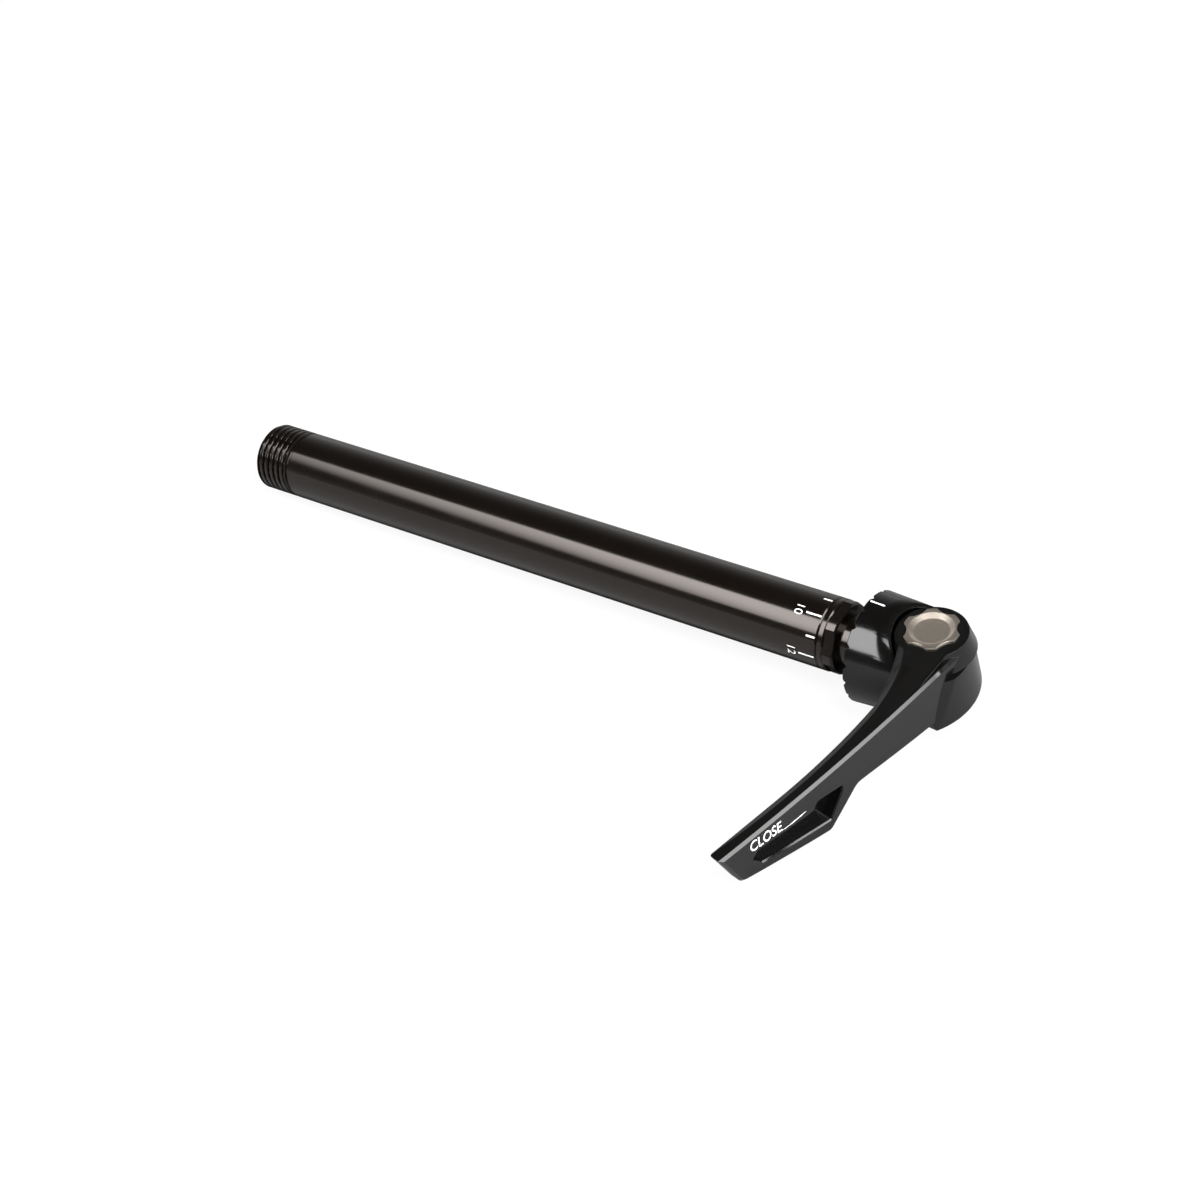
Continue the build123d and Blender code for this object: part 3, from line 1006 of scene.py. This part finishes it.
@dataclass
class IndexMarks:
    """The index ticks and numbers printed round the tube; sizes in millimetres and degrees."""

    radius: float = 7.5
    lift: float = 0.035
    count: int = 10
    highest: int = 12
    first: float = 91.0
    step: float = 34.0
    right_end: float = -8.9
    long: float = 3.5
    short: float = 1.95
    width: float = 0.38
    tick_points: tuple[int, int] = (2, 5)
    number_place: float = -14.0
    number_height: float = 1.82
    number_drift: float = -0.5
    number_weight: float = -0.004

    @staticmethod
    def wrap(tree: Grower, geometry: NodeSocket, radius: Value, lift: Value) -> NodeSocket:
        """Rolls a flat mesh, whose Y runs round the tube, onto the tube.

        Args:
            tree: The tree to add to.
            geometry: The flat mesh.
            radius: The tube's radius.
            lift: How far off the surface the mesh lies.

        Returns:
            The rolled mesh.
        """
        along, arc, _ = tree.split(tree.out("GeometryNodeInputPosition"))
        angle, out = arc / radius, radius + lift
        place = tree.join(along, -1.0 * out * angle.math("SINE"), out * angle.math("COSINE"))
        return tree.out("GeometryNodeSetPosition", {"Geometry": geometry, "Position": place})

    def tick_tree(self) -> Grower:
        """Builds the tree that lays the ticks round the tube, long and short in turn.

        Returns:
            The tree.
        """
        tree = Grower("index_ticks")
        radius, lift, first, step = tree.inputs("Radius", "Lift", "First", "Step")
        right, long, short, width = tree.inputs("Right End", "Long", "Short", "Width")
        count = tree.input("Count", "NodeSocketInt")
        line = tree.out("GeometryNodeMeshLine", {"Count": count})
        index = tree.value("GeometryNodeInputIndex")
        length = long + (short - long) * (index % 2.0)
        spot = tree.join(right - length / 2.0, (first - step * index) * radius, 0.0)
        points = tree.out("GeometryNodeSetPosition", {"Geometry": line, "Position": spot})
        points_along, points_round = self.tick_points
        grid = tree.out("GeometryNodeMeshGrid", {0: 1.0, 1: 1.0, 2: points_along, 3: points_round})
        sockets = {"Points": points, "Instance": grid, "Scale": tree.join(length, width, 1.0)}
        ticks = tree.out("GeometryNodeInstanceOnPoints", sockets)
        real = tree.out("GeometryNodeRealizeInstances", {0: ticks})
        tree.close(self.wrap(tree, real, radius, lift))
        return tree

    def numbers(self) -> Mesh:
        """The even numbers, laid flat beside their ticks.

        Returns:
            A mesh whose Y runs round the tube.
        """
        laid = []
        sideways = Matrix(((0, 1, 0, 0), (1, 0, 0, 0), (0, 0, -1, 0), (0, 0, 0, 1)))
        for place in range(0, self.count, 2):
            mesh = text_mesh(str(self.highest - place), self.number_height * MM, self.number_weight)
            turn = math.radians(self.first - self.step * place + self.number_drift)
            spot = Vector((self.number_place * MM, turn * self.radius * MM, 0.0))
            mesh.transform(Matrix.Translation(spot) @ sideways)
            laid.append(mesh)
        return joined("index_numbers_flat", laid)

    def build(self) -> None:
        """Makes the ticks and the numbers."""
        material = Finishes.PRINT.material
        shared = {"Radius": self.radius * MM, "Lift": self.lift * MM, "Material": material}
        inputs = {
            **shared,
            "First": math.radians(self.first),
            "Step": math.radians(self.step),
            "Right End": self.right_end * MM,
            "Long": self.long * MM,
            "Short": self.short * MM,
            "Width": self.width * MM,
            "Count": self.count,
        }
        add_piece("index_ticks", self.tick_tree().run("index_ticks", inputs), material, "axle")
        tree = Grower("number_wrap")
        radius, lift = tree.inputs("Radius", "Lift")
        tree.close(self.wrap(tree, tree.entry.outputs[0], radius, lift))
        add_piece("index_numbers", tree.run("index_numbers", shared, self.numbers()), material, "axle")


@dataclass
class ClampHead:
    """The flange and the cam housing, with the flange's pointer line; sizes in millimetres."""

    pointer_start: float = 0.55
    pointer_end: float = 3.7
    pointer_width: float = 0.42
    pointer_turn: float = -4.0
    lift: float = 0.03

    def build(self) -> None:
        """Dresses the nodes and adds the pointer."""
        dress("flange_cup", Finishes.FLANGE)
        dress("cam_housing", Finishes.FORGED)
        turn = math.radians(self.pointer_turn)
        out = on_shaft(0.0, 1.0, turn)
        aside = on_shaft(0.0, 1.0, turn + math.pi / 2.0)
        ends = ((self.pointer_start * MM, 0.0), (self.pointer_end * MM, 0.0))
        mesh = ribbon_mesh([(*end, self.pointer_width * MM) for end in ends])
        flange_low, flange_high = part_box("flange_cup")
        start = out * (flange_high.z - flange_low.z)
        basis = Matrix((Vector((1.0, 0.0, 0.0)), aside, out)).transposed().to_4x4()
        mesh.transform(Matrix.Translation(start) @ basis)
        drop_onto(mesh, "flange_cup", -out, self.lift * MM)
        add_piece("flange_pointer", mesh, Finishes.PRINT.material, "clamp_head")


@dataclass
class CamLever:
    """The lever, its star-headed shaft and its printed word; sizes in millimetres."""

    pivot: float = LEVER_PIVOT
    tilt: float = LEVER_TILT
    word: str = "CLOSE"
    word_height: float = 2.55
    word_width: float = 7.7
    word_place: Span = (54.65, 3.75)
    word_turn: float = -2.0
    word_weight: float = 0.012
    lift: float = 0.03
    standoff: float = 30.0
    stroke: tuple[Point, ...] = (
        (50.9, 2.28, 0.1),
        (49.2, 2.24, 0.18),
        (47.5, 2.24, 0.26),
        (45.9, 2.32, 0.3),
        (44.7, 2.44, 0.1),
    )

    def face(self) -> Matrix:
        """Works out the frame of the printing.

        Returns:
            A frame off the outer face: X from the tip to the pivot, Y up.
        """
        turn = math.radians(-90.0 - self.tilt)
        along = Vector((math.cos(turn), math.sin(turn), 0.0))
        out = Vector((-along.y, along.x, 0.0))
        up = Vector((0.0, 0.0, 1.0))
        basis = Matrix((-along, up, out)).transposed().to_4x4()
        pivot = Vector((self.pivot * MM, 0.0, 0.0))
        return Matrix.Translation(pivot + out * self.standoff * MM) @ basis

    def build(self) -> None:
        """Dresses the nodes and adds the printing."""
        dress("lever", Finishes.LEVER)
        dress("cam_shaft", Finishes.STAR)
        face = self.face()
        letters = text_mesh(self.word, self.word_height * MM, self.word_weight, self.word_width * MM)
        place = Matrix.Translation((-self.word_place[0] * MM, self.word_place[1] * MM, 0.0))
        letters.transform(place @ Matrix.Rotation(math.radians(self.word_turn), 4, "Z"))
        stroke = ribbon_mesh([(-u * MM, up * MM, width * MM) for u, up, width in self.stroke])
        mesh = joined("lever_word", (letters, stroke))
        mesh.transform(face)
        out = face.to_3x3() @ Vector((0.0, 0.0, 1.0))
        drop_onto(mesh, "lever", -out, self.lift * MM)
        add_piece("lever_word", mesh, Finishes.PRINT.material, "lever_arm")


@dataclass
class InnerWorks:
    """The collar, and the steel pieces inside the tube and housing."""

    steel: tuple[str, ...] = ("draw_rod", "rod_nut", "shaft_clip")

    def build(self) -> None:
        """Dresses the nodes."""
        dress("index_collar", Finishes.TUBE)
        for node in self.steel:
            dress(node, Finishes.STEEL)


# The studio


@dataclass
class Studio:
    """The camera, the white floor, two softboxes and the room; lengths in metres."""

    eye: Point = (0.198371, -0.285417, 0.319796)
    target: Point = (-0.058418, -0.010922, 0.0)
    roll: float = -12.884
    lens: float = 71.545
    sensor: float = 36.0
    clip: Span = (0.01, 50.0)
    facing_down: float = -0.9
    floor_size: float = 6.0
    floor_grey: float = 0.82
    floor_white: float = 0.9
    floor_dim: float = 0.6
    # The painted shadow that reflections see on the floor under and behind the tube
    painted_shadow_depth: float = 0.85
    painted_shadow_reach: float = 0.075
    painted_shadow_front: Span = (-0.01, -0.005)
    painted_shadow_end: Span = (0.01, 0.02)
    softbox_height: float = 0.8
    softbox_left: tuple[Span, ...] = ((-1.23, -1.4), (-1.23, -0.189), (-0.15, -0.189), (-0.15, -1.4))
    softbox_right: tuple[Span, ...] = ((0.05, -0.2), (1.9, 1.28), (2.1, 0.3), (1.2, -0.75))
    softbox_starts: Span = (0.15, -0.5)
    softbox_fade: float = 0.5
    softbox_edges: tuple[Span, ...] = ((0.0, 0.08), (0.96, 1.0))
    softbox_strength: float = 10.0
    room_strength: float = 0.85
    room_fall: float = 1.2
    room_fall_behind: float = 7.0

    def camera(self) -> None:
        """Puts the camera where the photograph was taken from."""
        data = bpy.data.cameras.new("photo_camera")
        data.lens = self.lens
        data.sensor_width = self.sensor
        data.clip_start, data.clip_end = self.clip
        obj = placed("photo_camera", data)
        look = (Vector(self.target) - Vector(self.eye)).to_track_quat("-Z", "Y")
        obj.rotation_mode = "QUATERNION"
        obj.location = self.eye
        obj.rotation_quaternion = look @ Quaternion((0.0, 0.0, 1.0), math.radians(self.roll))
        bpy.context.scene.camera = obj

    def resting_plane(self) -> tuple[Vector, Vector]:
        """Finds the plane that the object lies on.

        Returns:
            A point of the plane and its normal, which points up.
        """
        shape = bmesh.new()
        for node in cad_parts.values():
            shape.from_mesh(node.data)
        hull = bmesh.ops.convex_hull(shape, input=shape.verts)["geom"]
        faces = (part for part in hull if isinstance(part, bmesh.types.BMFace))
        lower = [face for face in faces if face.normal.z < self.facing_down]
        largest = max(lower, key=lambda face: face.calc_area())
        point, normal = largest.verts[0].co.copy(), -largest.normal.copy()
        shape.free()
        return point, normal

    @staticmethod
    def seen(tree: Tree, path: Node) -> Value:
        """1 for what the camera sees, straight or through something clear, and 0 for all other light."""
        direct = Value(tree, path.outputs["Is Camera Ray"])
        return direct.math("MAXIMUM", Value(tree, path.outputs["Is Transmission Ray"]))

    def floor_material(self, origin: Vector) -> Material:
        """Makes the floor's white, which mirrors on the object as dimmer, and darkest under the tube in
        a painted shadow.

        Args:
            origin: The floor's origin.

        Returns:
            The material.
        """
        material = bpy.data.materials.new("floor_white")
        tree = Tree(blank_nodes(material))
        path = tree.add("ShaderNodeLightPath")
        paint = tree.out("ShaderNodeBsdfDiffuse", {"Color": (*(self.floor_grey,) * 3, 1.0)})
        white = tree.out("ShaderNodeEmission", {"Strength": 1.0})
        sockets = {0: self.seen(tree, path) * self.floor_white, 1: paint, 2: white}
        mixed = tree.out("ShaderNodeMixShader", sockets)
        x, y, _ = tree.split(tree.add("ShaderNodeTexCoord").outputs["Object"])
        along, behind = x + origin.x, y + origin.y
        # Painted shadow, seen only in reflections: the floor is darker under and behind the tube and
        # fades with distance from it. Reflections also see the whole floor darker by floor_dim.
        fade = (behind / -self.painted_shadow_reach).math("EXPONENT")
        shadow = behind.smooth(*self.painted_shadow_front) * fade * (1.0 - along.smooth(*self.painted_shadow_end))
        dim = self.floor_dim + shadow * (1.0 - self.floor_dim) * self.painted_shadow_depth
        dark = tree.out("ShaderNodeEmission", {"Strength": 0.0})
        mirrored = Value(tree, path.outputs["Is Glossy Ray"]) * dim
        dimmed = tree.out("ShaderNodeMixShader", {0: mirrored, 1: mixed, 2: dark})
        tree.add("ShaderNodeOutputMaterial", {"Surface": dimmed})
        return material

    def floor(self) -> None:
        """Makes the white floor under the object, which keeps a faint shadow."""
        mesh = bpy.data.meshes.new("floor")
        half = self.floor_size / 2.0
        corners = [(-half, -half, 0.0), (half, -half, 0.0), (half, half, 0.0), (-half, half, 0.0)]
        mesh.from_pydata(corners, [], [(0, 1, 2, 3)])
        point, normal = self.resting_plane()
        mesh.materials.append(self.floor_material(point))
        obj = placed("floor", mesh)
        turn = Vector((0.0, 0.0, 1.0)).rotation_difference(normal).to_matrix().to_4x4()
        obj.matrix_world = Matrix.Translation(point) @ turn

    def softbox_material(self, name: str, start: float) -> Material:
        """Makes a light's face, which dims towards one end and at its edges.

        Args:
            name: The material's name.
            start: Where along the face the dimming ends in black, as a share of its length.

        Returns:
            The material.
        """
        material = bpy.data.materials.new(name)
        tree = Tree(blank_nodes(material))
        near, far = self.softbox_edges
        along, across, _ = tree.split(tree.add("ShaderNodeTexCoord").outputs["Generated"])
        fade = ((along - start) / self.softbox_fade).clamp()
        edges = across.smooth(*near) * (1.0 - across.smooth(*far))
        light = tree.out("ShaderNodeEmission", {"Strength": fade * edges * self.softbox_strength})
        tree.add("ShaderNodeOutputMaterial", {"Surface": light})
        return material

    def softboxes(self) -> None:
        """Hangs a long softbox left of the camera and a smaller one on its right."""
        boxes = {"softbox_left": self.softbox_left, "softbox_right": self.softbox_right}
        for (name, corners), start in zip(boxes.items(), self.softbox_starts):
            mesh = bpy.data.meshes.new(name)
            mesh.from_pydata([(*corner, self.softbox_height) for corner in corners], [], [(0, 1, 2, 3)])
            mesh.materials.append(self.softbox_material(name, start))
            obj = placed(name, mesh)
            obj.visible_camera = False

    def room(self) -> None:
        """Fills the room: white to the camera, and dimmer with height to everything else."""
        world = bpy.data.worlds.new("room")
        tree = Tree(blank_nodes(world))
        x, y, z = tree.split(tree.add("ShaderNodeTexCoord").outputs["Generated"])
        away = Vector((self.target[0] - self.eye[0], self.target[1] - self.eye[1])).normalized()
        behind = (0.5 - (x * away.x + y * away.y) * 0.5).clamp()
        fall = self.room_fall + behind * self.room_fall_behind
        dim = (1.0 - z.clamp()) ** fall * self.room_strength
        seen = self.seen(tree, tree.add("ShaderNodeLightPath"))
        strength = seen + (1.0 - seen) * dim
        light = tree.out("ShaderNodeBackground", {"Strength": strength})
        tree.add("ShaderNodeOutputWorld", {"Surface": light})
        bpy.context.scene.world = world

    def build(self) -> None:
        """Sets up the view, the floor and the light."""
        bpy.context.scene.view_settings.view_transform = "Standard"
        self.camera()
        self.floor()
        self.softboxes()
        self.room()


def main() -> None:
    """Builds the object's pieces and the studio."""
    logging.basicConfig(level=logging.INFO, format="%(name)s: %(message)s")
    for assembly in (ThreadedTube(), IndexMarks(), ClampHead(), CamLever(), InnerWorks(), Studio()):
        assembly.build()


if __name__ == "__main__":
    main()
